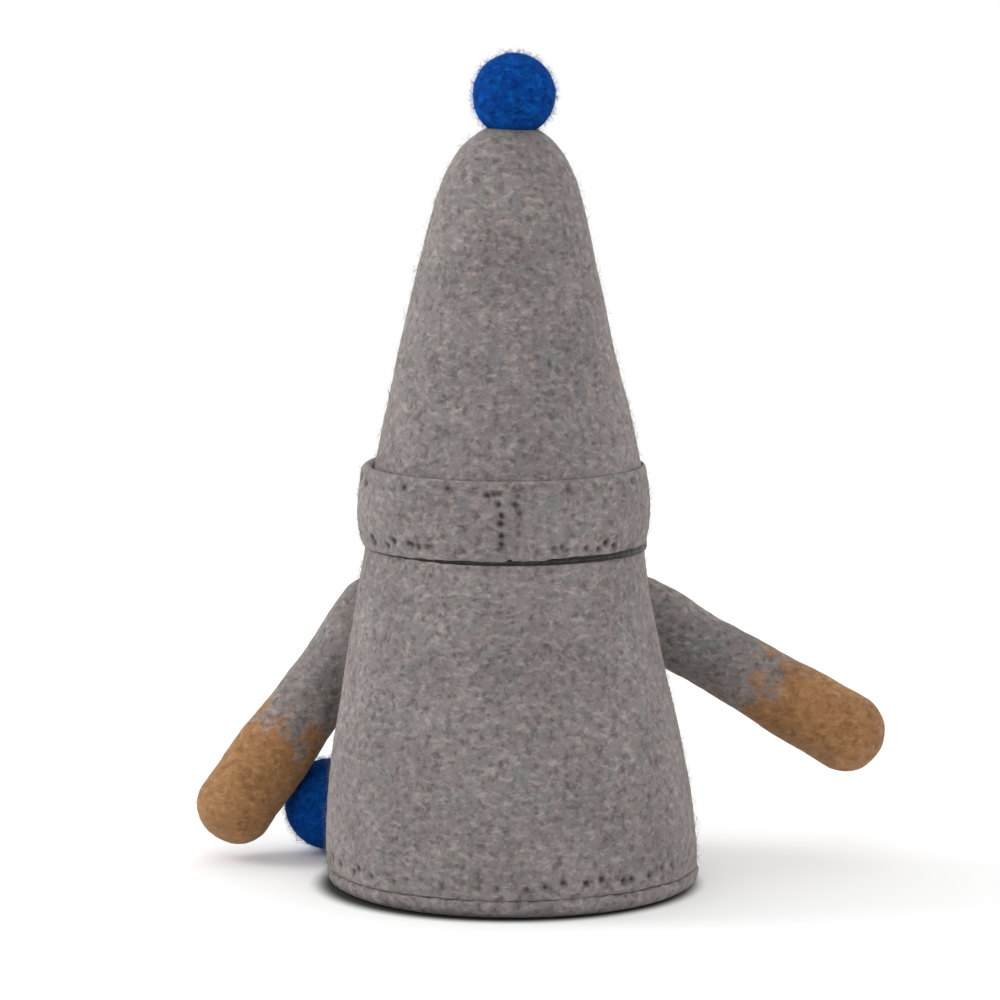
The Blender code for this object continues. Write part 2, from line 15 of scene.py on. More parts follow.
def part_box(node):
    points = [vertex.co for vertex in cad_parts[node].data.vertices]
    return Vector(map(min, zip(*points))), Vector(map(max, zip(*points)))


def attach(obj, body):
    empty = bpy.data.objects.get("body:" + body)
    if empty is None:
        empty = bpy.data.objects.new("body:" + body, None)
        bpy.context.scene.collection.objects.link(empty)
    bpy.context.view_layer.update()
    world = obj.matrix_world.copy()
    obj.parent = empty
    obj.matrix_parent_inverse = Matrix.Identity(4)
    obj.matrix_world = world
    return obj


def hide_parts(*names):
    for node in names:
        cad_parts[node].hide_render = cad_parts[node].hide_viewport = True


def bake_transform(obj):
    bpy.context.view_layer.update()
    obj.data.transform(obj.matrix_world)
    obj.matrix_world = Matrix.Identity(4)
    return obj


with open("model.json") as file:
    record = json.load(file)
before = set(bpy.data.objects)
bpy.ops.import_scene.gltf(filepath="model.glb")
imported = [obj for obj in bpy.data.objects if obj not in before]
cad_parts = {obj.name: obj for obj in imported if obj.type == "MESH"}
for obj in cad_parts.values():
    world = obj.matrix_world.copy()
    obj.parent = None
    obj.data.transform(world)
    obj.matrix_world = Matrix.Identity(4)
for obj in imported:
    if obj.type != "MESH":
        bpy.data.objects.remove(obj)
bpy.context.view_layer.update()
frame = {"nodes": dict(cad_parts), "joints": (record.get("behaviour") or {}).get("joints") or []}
scene = bpy.context.scene


# ---------------------------------------------------------------- studio
# A white paper floor in soft light from all round, as in a light tent, with one broad light over the camera
# and one on its left. The paper's colour has a painted shadow close round the hem. The camera looks slightly
# down on the puppet's back.

scene.view_settings.view_transform = "Standard"
scene.view_settings.look = "None"

camera = bpy.data.objects.new("camera", bpy.data.cameras.new("camera"))
scene.collection.objects.link(camera)
camera.data.sensor_width = 36.0
camera.data.lens = 170.8
camera.data.clip_end = 200.0
camera.location = (0.0022, 1.51, 0.318)
camera.rotation_euler = (math.radians(90 - 7.3), 0, math.radians(180))
scene.camera = camera

world = bpy.data.worlds.new("light_tent")
scene.world = world
world.use_nodes = True
world.node_tree.nodes["Background"].inputs["Color"].default_value = (1.0, 1.0, 1.0, 1.0)
world.node_tree.nodes["Background"].inputs["Strength"].default_value = 1.05


def soft_light(name, place, target, size, watts):
    lamp = bpy.data.objects.new(name, bpy.data.lights.new(name, "AREA"))
    lamp.data.shape = "DISK"
    lamp.data.size = size
    lamp.data.energy = watts
    lamp.location = place
    lamp.rotation_euler = (Vector(target) - Vector(place)).to_track_quat("-Z", "Y").to_euler()
    scene.collection.objects.link(lamp)


soft_light("over_camera", (0.1, 1.1, 1.2), (0, 0, 0.16), 0.8, 1.7)
soft_light("left_side", (1.1, -0.1, 0.80), (0, 0, 0.20), 0.6, 5.0)


def feed(tree, sockets, values):
    """Links or sets input sockets, which are found by name or number."""
    for key, value in dict(values).items():
        if isinstance(value, bpy.types.NodeSocket):
            tree.links.new(value, sockets[key])
        else:
            sockets[key].default_value = value


def add_node(tree, kind, values=(), **settings):
    """A shader or geometry node with its settings, and with values for its input sockets."""
    made = tree.nodes.new(kind)
    for key, value in settings.items():
        setattr(made, key, value)
    feed(tree, made.inputs, values)
    return made


def calc(tree, operation, *values, use_clamp=False):
    """The result of a maths node."""
    made = add_node(tree, "ShaderNodeMath", enumerate(values), operation=operation, use_clamp=use_clamp)
    return made.outputs[0]


def remap(tree, value, low, high, to_low=0.0, to_high=1.0):
    made = add_node(tree, "ShaderNodeMapRange", {0: value, 1: low, 2: high, 3: to_low, 4: to_high},
                    interpolation_type="SMOOTHSTEP")
    return made.outputs[0]


def paper_with_painted_shadow():
    """Pale paper with a painted shadow: its colour goes dark close round the hem, and stays pale from below."""
    made = bpy.data.materials.new("paper_with_painted_shadow")
    made.use_nodes = True
    tree = made.node_tree
    place = tree.nodes.new("ShaderNodeTexCoord").outputs["Object"]
    reach = add_node(tree, "ShaderNodeVectorMath", {0: place}, operation="LENGTH").outputs["Value"]
    underside = tree.nodes.new("ShaderNodeNewGeometry").outputs["Backfacing"]
    # Painted shadow: the paper's colour goes dark inside and just round the hem's circle, except on its
    # underside.
    pale = calc(tree, "MAXIMUM", remap(tree, reach, 0.0570, 0.0650, 0.03, 0.97), underside)
    feed(tree, tree.nodes["Principled BSDF"].inputs, {"Base Color": pale, "Roughness": 0.9})
    return made


floor_half = 60
corners = [(x * floor_half, y * floor_half, 0) for x, y in ((-1, -1), (1, -1), (1, 1), (-1, 1))]
floor = bpy.data.objects.new("floor", bpy.data.meshes.new("floor"))
floor.data.from_pydata(corners, [], [(0, 1, 2, 3)])
scene.collection.objects.link(floor)
floor.location.z = -0.0002
floor.data.materials.append(paper_with_painted_shadow())


# ---------------------------------------------------------------- sleeve
# The body is one piece of grey wool, wet-felted over a form into a thick bell with a domed shoulder, and
# then needled smooth. The hand goes up inside it. Loose fibres stand off it everywhere.


def vector_calc(tree, operation, *values, **named):
    """The result of a vector maths node."""
    sockets = {**dict(enumerate(values)), **named}
    return add_node(tree, "ShaderNodeVectorMath", sockets, operation=operation).outputs[0]


def grain(tree, vector, scale, **values):
    """The grey value of a noise texture."""
    return add_node(tree, "ShaderNodeTexNoise", {"Vector": vector, "Scale": scale, **values}).outputs[0]


def blend_colour(tree, share, first, second, kind="MIX"):
    made = add_node(tree, "ShaderNodeMix", {0: share, 6: first, 7: second}, data_type="RGBA", blend_type=kind)
    return made.outputs[2]


def marled_wool_group():
    """Felt of mixed fibres: pale and dark swirls, tinted patches and dark specks. Sizes are for metres."""
    tree = bpy.data.node_groups.new("marled_wool", "ShaderNodeTree")
    face = tree.interface
    face.new_socket("Vector", in_out="INPUT", socket_type="NodeSocketVector")
    for name in ("Base", "Pale", "Dark", "Tint"):
        face.new_socket(name, in_out="INPUT", socket_type="NodeSocketColor")
    for name in ("Contrast", "Patches", "Specks"):
        face.new_socket(name, in_out="INPUT", socket_type="NodeSocketFloat")
    face.new_socket("Color", in_out="OUTPUT", socket_type="NodeSocketColor")
    face.new_socket("Height", in_out="OUTPUT", socket_type="NodeSocketFloat")
    entry = tree.nodes.new("NodeGroupInput").outputs
    where = entry["Vector"]
    warp = add_node(tree, "ShaderNodeTexNoise", {"Vector": where, "Scale": 75.0, "Detail": 2.0})
    centred = vector_calc(tree, "SUBTRACT", warp.outputs["Color"], (0.5, 0.5, 0.5))
    swirled = vector_calc(tree, "ADD", where, vector_calc(tree, "SCALE", centred, Scale=0.004))
    flat = vector_calc(tree, "MULTIPLY", swirled, (1.0, 1.0, 1.7))
    streak = grain(tree, flat, 330.0, Detail=5.0, Roughness=0.62, Distortion=0.2)
    blotch = grain(tree, swirled, 400.0, Detail=4.0, Roughness=0.62)
    patch = grain(tree, swirled, 115.0, Detail=3.0, Roughness=0.6)
    fibre = grain(tree, flat, 1500.0, Detail=3.0, Roughness=0.7, Distortion=1.5)
    cell = add_node(tree, "ShaderNodeTexVoronoi", {"Vector": swirled, "Scale": 230.0}).outputs[0]
    clump = grain(tree, where, 150.0, Detail=1.0)
    speck = calc(tree, "MULTIPLY", remap(tree, cell, 0.30, 0.10), remap(tree, clump, 0.47, 0.60))

    def layer(amount, strength):
        return calc(tree, "MULTIPLY", amount, entry[strength], use_clamp=True)

    colour = blend_colour(tree, layer(remap(tree, patch, 0.46, 0.60), "Patches"), entry["Base"], entry["Tint"])
    colour = blend_colour(tree, layer(remap(tree, blotch, 0.56, 0.28), "Contrast"), colour, entry["Dark"])
    colour = blend_colour(tree, layer(remap(tree, streak, 0.44, 0.76), "Contrast"), colour, entry["Pale"])
    colour = blend_colour(tree, layer(speck, "Specks"), colour, entry["Dark"], "MULTIPLY")
    broad = grain(tree, where, 42.0, Detail=2.0)
    fine = remap(tree, fibre, 0.3, 0.7, 0.90, 1.10)
    shade = calc(tree, "MULTIPLY", fine, remap(tree, broad, 0.3, 0.7, 0.91, 1.09))
    colour = vector_calc(tree, "SCALE", colour, Scale=shade)
    lift = calc(tree, "ADD", streak, blotch)
    lift = calc(tree, "MULTIPLY_ADD", fibre, 0.5, lift)
    lift = calc(tree, "MULTIPLY_ADD", speck, -0.5, lift)
    feed(tree, tree.nodes.new("NodeGroupOutput").inputs, {"Color": colour, "Height": lift})
    return tree


marled_wool = marled_wool_group()


def marled(tree, where, base, pale, dark, tint, contrast=1.0, patches=0.5, specks=0.3):
    """The marled felt in a material's tree: its colour and its height."""
    made = add_node(tree, "ShaderNodeGroup", node_tree=marled_wool)
    feed(tree, made.inputs, {"Vector": where, "Base": base, "Pale": pale, "Dark": dark, "Tint": tint,
                             "Contrast": contrast, "Patches": patches, "Specks": specks})
    return made.outputs["Color"], made.outputs["Height"]


def shaded(name, roughness=0.9, sheen=0.0, sheen_tint=(1, 1, 1, 1), metallic=0.0, specular=0.2):
    """A new Principled material whose plain values are set on the shader's own sockets."""
    made = bpy.data.materials.new(name)
    made.use_nodes = True
    shader = made.node_tree.nodes["Principled BSDF"]
    feed(made.node_tree, shader.inputs, {
        "Roughness": roughness, "Metallic": metallic, "Specular IOR Level": specular, "Sheen Weight": sheen,
        "Sheen Roughness": 0.45, "Sheen Tint": sheen_tint,
    })
    return made, made.node_tree, shader


def raise_surface(tree, shader, height, distance, strength):
    bump = add_node(tree, "ShaderNodeBump", {"Height": height, "Distance": distance, "Strength": strength})
    feed(tree, shader.inputs, {"Normal": bump.outputs["Normal"]})


def object_vector(tree, centre=(0, 0, 0), scale=(1, 1, 1)):
    where = tree.nodes.new("ShaderNodeTexCoord").outputs["Object"]
    made = add_node(tree, "ShaderNodeMapping", {"Vector": where, "Location": centre, "Scale": scale})
    return made.outputs[0]


def wool(name, base, pale, dark, tint, contrast=1.0, specks=0.3, sheen=0.35, bump=0.0005):
    """Marled felt whose colour has painted shade in the dimples that a felting needle left."""
    material, tree, shader = shaded(name, 0.95, sheen, (*[min(1.0, 2.4 * c) for c in pale[:3]], 1.0))
    colour, height = marled(tree, object_vector(tree), base, pale, dark, tint, contrast, specks=specks)
    # Painted shade: the colour goes dark in the needle dimples, as deep as each vertex was sunk.
    pit_shade = add_node(tree, "ShaderNodeAttribute", attribute_name="pit_shade").outputs["Fac"]
    pit_shade_colour = (*[0.32 * c for c in dark[:3]], 1.0)
    feed(tree, shader.inputs, {"Base Color": blend_colour(tree, pit_shade, colour, pit_shade_colour)})
    raise_surface(tree, shader, height, bump, 0.8)
    return material


GREY = dict(
    base=(0.200, 0.176, 0.170, 1), pale=(0.330, 0.287, 0.271, 1), dark=(0.100, 0.084, 0.082, 1),
    tint=(0.160, 0.175, 0.172, 1),
)
grey_felt = wool("grey_felt", **GREY)


def piece(name, vertices, faces, material, body=None):
    """A mesh object at the origin with its place in its mesh."""
    mesh = bpy.data.meshes.new(name)
    mesh.from_pydata([tuple(v) for v in vertices], [], faces)
    mesh.materials.append(material)
    mesh.polygons.foreach_set("use_smooth", [True] * len(mesh.polygons))
    made = bpy.data.objects.new(name, mesh)
    scene.collection.objects.link(made)
    if body:
        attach(made, body)
    return made


def revolve(profile, segments):
    """Vertices and faces of a profile turned about Z. An end on the axis is closed with a fan."""
    angles = np.linspace(0, math.tau, segments, endpoint=False)
    ring = np.stack([np.cos(angles), np.sin(angles)], 1)
    vertices, starts = [], []
    for r, z in profile:
        starts.append(len(vertices))
        if r < 1e-9:
            vertices.append((0.0, 0.0, z))
        else:
            vertices.extend((r * c, r * s, z) for c, s in ring)
    faces = []
    last = len(profile) - 1
    pairs = list(zip(range(last), range(1, last + 1)))
    if profile[0][0] > 1e-9:
        pairs.append((last, 0))
    for a, b in pairs:
        for i in range(segments):
            j = (i + 1) % segments
            if profile[a][0] < 1e-9:
                faces.append((starts[a], starts[b] + i, starts[b] + j))
            elif profile[b][0] < 1e-9:
                faces.append((starts[a] + j, starts[a] + i, starts[b]))
            else:
                faces.append((starts[a] + i, starts[b] + i, starts[b] + j, starts[a] + j))
    return np.array(vertices), faces


def curve_points(start, first, second, end, count):
    t = np.linspace(0, 1, count + 1)[:, None]
    a, b, c, d = (np.array(p) for p in (start, first, second, end))
    points = (1 - t) ** 3 * a + 3 * t * (1 - t) ** 2 * b + 3 * t * t * (1 - t) * c + t**3 * d
    return [tuple(p) for p in points]


def arc_points(centre_z, radius, start, end, count):
    angles = np.linspace(start, end, count + 1)
    return [(radius * math.cos(a), centre_z + radius * math.sin(a)) for a in angles]


def evenly(points, spacing):
    """The same line with points about that far apart."""
    points = np.array(points)
    along = np.concatenate([[0], np.cumsum(np.linalg.norm(np.diff(points, axis=0), axis=1))])
    count = max(1, round(along[-1] / spacing))
    at = np.linspace(0, along[-1], count + 1)
    return [(float(np.interp(s, along, points[:, 0])), float(np.interp(s, along, points[:, 1]))) for s in at]


def lumps(vertices, size, seed):
    """Smooth noise from -1 to 1 at each vertex, with bumps about that far apart."""
    return np.array([noise.noise((Vector(v) + Vector((seed, 0.37 * seed, 0))) / size) for v in vertices])


def felted(vertices, outward, seed, coarse=0.00035, middle=0.00014, fine=0.00007, share=1.0):
    """Moves each vertex in or out as needled felt is uneven."""
    out = coarse * lumps(vertices, 0.016, seed) + middle * lumps(vertices, 0.0045, seed + 1)
    out = out + fine * lumps(vertices, 0.0018, seed + 2)
    return vertices + outward * (out * share)[:, None]


def pitted(vertices, outward, pits, radius=0.0010, depth=0.0014):
    """Sinks the small dimples that a felting needle leaves, and says how far down each vertex went, 0 to 1."""
    sink = np.zeros(len(vertices))
    for i, pit in enumerate(pits):
        near = np.linalg.norm(vertices - np.array(pit), axis=1)
        share = 0.72 + 0.28 * math.sin(12.9898 * i)
        sink = np.maximum(sink, share * np.exp(-((near / radius) ** 2)))
    return vertices - outward * (depth * sink)[:, None], sink


def mark_vertices(made, name, values):
    """Keeps one number for each vertex, which the piece's material reads."""
    made.data.attributes.new(name, "FLOAT", "POINT").data.foreach_set("value", values.astype(np.float32))


# Stores painted shade for the needle dimples: 1.5 times each vertex's sinking, at most 1.
def paint_pit_shade(made, sink):
    mark_vertices(made, "pit_shade", np.minimum(1.0, 1.5 * sink))


def normals_of(vertices, faces):
    mesh = bpy.data.meshes.new("temporary")
    mesh.from_pydata([tuple(v) for v in vertices], [], faces)
    found = np.empty(len(vertices) * 3)
    mesh.vertices.foreach_get("normal", found)
    bpy.data.meshes.remove(mesh)
    return found.reshape(-1, 3)


def smooth_step(value, low, high):
    t = np.clip((value - low) / (high - low), 0, 1)
    return t * t * (3 - 2 * t)


pivot_z = 0.080  # the head turns about this point inside the shoulder
seam = (0.045, 0.109)  # radius and height where the brim meets the shoulder
foot = (0.060, 0.0064)
wall = 0.0035
neck_radius = 0.024
dome = math.hypot(seam[0], seam[1] - pivot_z)
rise = seam[1] - foot[1]


def sleeve_line(count):
    first = (foot[0], foot[1] + 0.36 * rise)
    second = (seam[0] + 0.32 * (foot[0] - seam[0]), foot[1] + 0.61 * rise)
    return curve_points(foot, first, second, seam, count)


def sleeve_radius(z):
    line = sleeve_line(60)
    return float(np.interp(z, [p[1] for p in line], [p[0] for p in line]))


def lean(z):
    """How far the felted body is off its axis towards the left hand at a height."""
    return np.interp(z, [0.0, 0.05, 0.095, 0.109, 0.117], [-0.0020, -0.0001, 0.0014, 0.0008, 0.0])


rounded_foot = [(foot[0] - 0.0010, foot[1] - 0.0003), (foot[0] - 0.0003, foot[1] + 0.0001)]
outside = evenly(rounded_foot + sleeve_line(60)[3:], 0.0009)
over = arc_points(pivot_z, dome, math.acos(seam[0] / dome), math.acos(neck_radius / dome), 16)[1:]
inner = dome - wall
under = arc_points(pivot_z, inner, math.acos(neck_radius / inner), math.acos((seam[0] - wall) / inner), 8)
inside = evenly([(r - wall, z) for r, z in reversed(sleeve_line(30))], 0.004)
vertices, faces = revolve((outside + over + under + inside[1:])[::-1], 400)
outward = normals_of(vertices, faces)
heights = vertices[:, 2]
loose = 1 - smooth_step(heights, 0.106, 0.112)
vertices = felted(vertices, outward, 3.1, share=loose)
hem_pit_count, pit_ring, pit_height = 58, 0.0597, 0.0108
rng = np.random.default_rng(11)
around_hem = np.linspace(0, math.tau, hem_pit_count, endpoint=False)
around_hem = around_hem + rng.uniform(-0.035, 0.035, hem_pit_count)
hem_pits = [
    (pit_ring * math.cos(a) + lean(0.01), pit_ring * math.sin(a), pit_height + d)
    for a, d in zip(around_hem, rng.uniform(-0.0011, 0.0011, hem_pit_count))
]
vertices[:, 0] += lean(heights)
vertices, sink = pitted(vertices, outward, hem_pits)
sleeve = piece("sleeve_felt", vertices, faces, grey_felt, "sleeve")
# Painted shade in the hem's needle dimples.
paint_pit_shade(sleeve, sink)
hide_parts("body_sleeve")


def fibre_tree():
    """Loose fibres on a surface: fine tapered hairs that lean over it and wander. Sizes are in metres."""
    tree = bpy.data.node_groups.new("loose_fibres", "GeometryNodeTree")
    face = tree.interface
    face.new_socket("Geometry", in_out="INPUT", socket_type="NodeSocketGeometry")
    for name in ("Density", "Length", "Lean", "Wander", "Waves"):
        face.new_socket(name, in_out="INPUT", socket_type="NodeSocketFloat")
    face.new_socket("Thickness", in_out="INPUT", socket_type="NodeSocketFloat").default_value = 0.000045
    face.new_socket("Seed", in_out="INPUT", socket_type="NodeSocketInt")
    face.new_socket("Joints", in_out="INPUT", socket_type="NodeSocketInt").default_value = 5
    face.new_socket("Comb", in_out="INPUT", socket_type="NodeSocketVector")
    face.new_socket("Material", in_out="INPUT", socket_type="NodeSocketMaterial")
    face.new_socket("Geometry", in_out="OUTPUT", socket_type="NodeSocketGeometry")
    entry = tree.nodes.new("NodeGroupInput").outputs
    roots = add_node(tree, "GeometryNodeDistributePointsOnFaces",
                     {"Mesh": entry["Geometry"], "Density": entry["Density"], "Seed": entry["Seed"]})
    normal = roots.outputs["Normal"]
    chance = add_node(tree, "FunctionNodeRandomValue", {0: (-1, -1, -1), 1: (1, 1, 1), "Seed": entry["Seed"]},
                      data_type="FLOAT_VECTOR").outputs[0]
    aside = vector_calc(tree, "NORMALIZE", vector_calc(tree, "CROSS_PRODUCT", chance, normal))
    aside = vector_calc(tree, "SCALE", aside, Scale=entry["Lean"])
    upright = vector_calc(tree, "SCALE", normal, Scale=calc(tree, "SUBTRACT", 1.0, entry["Lean"]))
    heading = vector_calc(tree, "ADD", vector_calc(tree, "ADD", aside, upright), entry["Comb"])
    turn = add_node(tree, "FunctionNodeAlignRotationToVector", {"Vector": heading}, axis="Z")
    spread = add_node(tree, "FunctionNodeRandomValue", {2: 0.45, 3: 1.25, "Seed": entry["Seed"]},
                      data_type="FLOAT")
    length = calc(tree, "MULTIPLY", spread.outputs[1], entry["Length"])
    hair = add_node(tree, "GeometryNodeCurvePrimitiveLine", {"Start": (0, 0, 0), "End": (0, 0, 1)})
    hair = add_node(tree, "GeometryNodeResampleCurve", {"Curve": hair.outputs[0], "Count": entry["Joints"]})
    hairs = add_node(tree, "GeometryNodeInstanceOnPoints",
                     {"Points": roots.outputs["Points"], "Instance": hair.outputs[0],
                      "Rotation": turn.outputs[0], "Scale": length})
    hairs = add_node(tree, "GeometryNodeRealizeInstances", {"Geometry": hairs.outputs[0]})
    along = tree.nodes.new("GeometryNodeSplineParameter").outputs["Factor"]
    place = tree.nodes.new("GeometryNodeInputPosition").outputs[0]
    sway = add_node(tree, "ShaderNodeTexNoise", {"Vector": place, "Scale": entry["Waves"], "Detail": 1.0})
    sway = vector_calc(tree, "SUBTRACT", sway.outputs["Color"], (0.5, 0.5, 0.5))
    reach = calc(tree, "MULTIPLY", calc(tree, "MULTIPLY", entry["Wander"], entry["Length"]), along)
    sway = vector_calc(tree, "SCALE", sway, Scale=reach)
    hairs = add_node(tree, "GeometryNodeSetPosition", {"Geometry": hairs.outputs[0], "Offset": sway})
    taper = add_node(tree, "ShaderNodeMapRange", {0: along, 1: 0.0, 2: 1.0, 3: 1.0, 4: 0.25}).outputs[0]
    round_hair = add_node(tree, "GeometryNodeCurvePrimitiveCircle", {"Resolution": 3, "Radius": 1.0})
    tubes = add_node(tree, "GeometryNodeCurveToMesh",
                     {"Curve": hairs.outputs[0], "Profile Curve": round_hair.outputs[0],
                      "Scale": calc(tree, "MULTIPLY", taper, entry["Thickness"]), "Fill Caps": True})
    tubes = add_node(tree, "GeometryNodeSetMaterial",
                     {"Geometry": tubes.outputs[0], "Material": entry["Material"]})
    whole = add_node(tree, "GeometryNodeRealizeInstances", {"Geometry": tubes.outputs[0]})
    feed(tree, tree.nodes.new("NodeGroupOutput").inputs, {0: whole.outputs[0]})
    return tree


loose_fibres = fibre_tree()


def made_by_nodes(name, bed, tree, values):
    """A plain mesh object of what a node tree makes on a bed, which then goes."""
    work = bed.modifiers.new("work", "NODES")
    work.node_group = tree
    for item in tree.interface.items_tree:
        if item.in_out == "INPUT" and item.name in values:
            work[item.identifier] = values[item.name]
    bpy.context.view_layer.update()
    ready = bed.evaluated_get(bpy.context.evaluated_depsgraph_get())
    made = bpy.data.objects.new(name, bpy.data.meshes.new_from_object(ready))
    made.data.name = name
    scene.collection.objects.link(made)
    bpy.data.objects.remove(bed)
    return made


def grown(name, vertices, faces, chosen, material, body, **sizes):
    """Loose fibres on the faces whose vertices are all chosen."""
    kept = [f for f in faces if all(chosen[i] for i in f)]
    bed = piece(name + "_bed", vertices, kept, material)
    made = made_by_nodes(name, bed, loose_fibres, {"Material": material, **sizes})
    if body:
        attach(made, body)
    return made


grey_fibre = wool("grey_fibre", (0.200, 0.178, 0.172, 1), (0.27, 0.24, 0.225, 1), (0.125, 0.108, 0.105, 1),
                  (0.20, 0.21, 0.21, 1), specks=0.0, sheen=0.2)
visible = (outward[:, 2] < 0.9) & (np.hypot(vertices[:, 0], vertices[:, 1]) > sleeve_radius(0.10) - 0.010)
visible &= (heights < 0.107) & ((outward[:, :2] * vertices[:, :2]).sum(1) > 0)
grown("sleeve_fuzz", vertices, faces, visible, grey_fibre, "sleeve",
      Density=110000.0, Length=0.0040, Lean=0.72, Wander=1.3, Waves=320.0, Seed=3)


# ---------------------------------------------------------------- hem
# A strip of the same felt closes the sleeve's foot. It is turned up inside as a facing and sewn on with a
# sunk running stitch, which puckers it into small bumps.

facing = sleeve_radius(0.016) - wall - 0.0004
strip = [
    (0.0571, 0.0059), (0.0588, 0.0061), (0.0595, 0.0059), (0.0599, 0.0052), (0.0599, 0.0040), (0.0594, 0.0027),
    (0.0584, 0.0015), (0.0570, 0.0005), (0.0557, 0.0), (0.0550, 0.0), (0.0546, 0.0010), (0.0546, 0.0056),
    (facing - 0.0014, 0.0150), (facing - 0.0007, 0.0158), (facing, 0.0150), (facing, 0.0064),
]
profile = evenly(strip + strip[:1], 0.0008)[:-1]
hem_vertices, hem_faces = revolve(profile[::-1], 400)
hem_outward = normals_of(hem_vertices, hem_faces)
angle = np.arctan2(hem_vertices[:, 1], hem_vertices[:, 0])
radius = np.hypot(hem_vertices[:, 0], hem_vertices[:, 1])
outer = smooth_step(radius, 0.0570, 0.0586)
pucker = 0.00055 * (np.abs(np.cos(29 * angle + 1.5 * np.sin(3 * angle))) - 0.6)
hem_vertices = felted(hem_vertices, hem_outward, 7.7, share=outer)
hem_vertices += hem_outward * (outer * pucker)[:, None]
hem_vertices[:, 2] = np.maximum(hem_vertices[:, 2], 0.0)
hem_vertices[:, 0] += lean(0.0)
hem = piece("hem_felt", hem_vertices, hem_faces, grey_felt, "sleeve")
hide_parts("hem_binding")
grown("hem_fuzz", hem_vertices, hem_faces, (outer > 0.5) & (hem_vertices[:, 2] > 0.0026), grey_fibre,
      "sleeve", Density=110000.0, Length=0.0028, Lean=0.7, Wander=1.3, Waves=350.0, Seed=5,
      Joints=4)


def stitch_tree():
    """Short stitches along a curve, each a small pill laid along it. Sizes are in metres."""
    tree = bpy.data.node_groups.new("running_stitch", "GeometryNodeTree")
    face = tree.interface
    face.new_socket("Geometry", in_out="INPUT", socket_type="NodeSocketGeometry")
    for name in ("Pitch", "Stitch", "Thread"):
        face.new_socket(name, in_out="INPUT", socket_type="NodeSocketFloat")
    face.new_socket("Material", in_out="INPUT", socket_type="NodeSocketMaterial")
    face.new_socket("Geometry", in_out="OUTPUT", socket_type="NodeSocketGeometry")
    entry = tree.nodes.new("NodeGroupInput").outputs
    path = add_node(tree, "GeometryNodeMeshToCurve", {"Mesh": entry["Geometry"]})
    dots = add_node(tree, "GeometryNodeCurveToPoints", {"Curve": path.outputs[0], "Length": entry["Pitch"]},
                    mode="LENGTH")
    turn = add_node(tree, "FunctionNodeAlignRotationToVector", {"Vector": dots.outputs["Tangent"]}, axis="Z")
    pill = add_node(tree, "GeometryNodeMeshUVSphere", {"Segments": 6, "Rings": 5, "Radius": 0.5})
    size = add_node(tree, "ShaderNodeCombineXYZ", {0: entry["Thread"], 1: entry["Thread"], 2: entry["Stitch"]})
    laid = add_node(tree, "GeometryNodeInstanceOnPoints",
                    {"Points": dots.outputs["Points"], "Instance": pill.outputs["Mesh"],
                     "Rotation": turn.outputs[0], "Scale": size.outputs[0]})
    whole = add_node(tree, "GeometryNodeRealizeInstances", {"Geometry": laid.outputs[0]})
    whole = add_node(tree, "GeometryNodeSetMaterial",
                     {"Geometry": whole.outputs[0], "Material": entry["Material"]})
    feed(tree, tree.nodes.new("NodeGroupOutput").inputs, {0: whole.outputs[0]})
    return tree


running_stitch = stitch_tree()


def twisted_thread(name, base):
    material, tree, shader = shaded(name, 0.75, 0.2)
    wave = add_node(tree, "ShaderNodeTexWave", {"Vector": object_vector(tree), "Scale": 900.0, "Distortion": 3.0,
                                                "Detail": 2.0}, bands_direction="DIAGONAL")
    pale = tuple(min(1.0, 1.7 * c) for c in base)
    feed(tree, shader.inputs, {"Base Color": blend_colour(tree, wave.outputs["Fac"], (*base, 1), (*pale, 1))})
    raise_surface(tree, shader, wave.outputs["Fac"], 0.0001, 0.6)
    return material


dark_thread = twisted_thread("dark_thread", (0.070, 0.062, 0.060))


def stitched(name, path, closed, material, body, **sizes):
    """A running stitch along a path of points."""
    links = [(i, i + 1) for i in range(len(path) - 1)] + ([(len(path) - 1, 0)] if closed else [])
    mesh = bpy.data.meshes.new(name + "_line")
    mesh.from_pydata([tuple(p) for p in path], links, [])
    line = bpy.data.objects.new(name + "_line", mesh)
    scene.collection.objects.link(line)
    made = made_by_nodes(name, line, running_stitch, {"Material": material, **sizes})
    made.data.polygons.foreach_set("use_smooth", [True] * len(made.data.polygons))
    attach(made, body)
    return made


crease_radius, crease_height = 0.0591, 0.0062
crease = [
    (crease_radius * math.cos(a) + lean(0.006), crease_radius * math.sin(a), crease_height)
    for a in np.linspace(0, math.tau, 120, endpoint=False)
]
hem_stitches = stitched("hem_stitches", crease, True, dark_thread, "sleeve",
                        Pitch=0.0050, Stitch=0.0028, Thread=0.00042)
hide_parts("hem_thread")


# ---------------------------------------------------------------- shoulder pins and buttons
# Each arm hangs on an eye pin of steel wire that goes through the sleeve's wall and a wooden button inside,
# where its end is bent over.


def drawn_wire(name):
    material, tree, shader = shaded(name, 0.35, metallic=1.0, specular=0.5)
    streaks = grain(tree, object_vector(tree, scale=(1, 1, 0.15)), 2500.0, Detail=3.0)
    colour = blend_colour(tree, streaks, (0.36, 0.36, 0.38, 1), (0.66, 0.66, 0.68, 1))
    feed(tree, shader.inputs, {"Base Color": colour, "Roughness": remap(tree, streaks, 0.3, 0.7, 0.28, 0.5)})
    return material


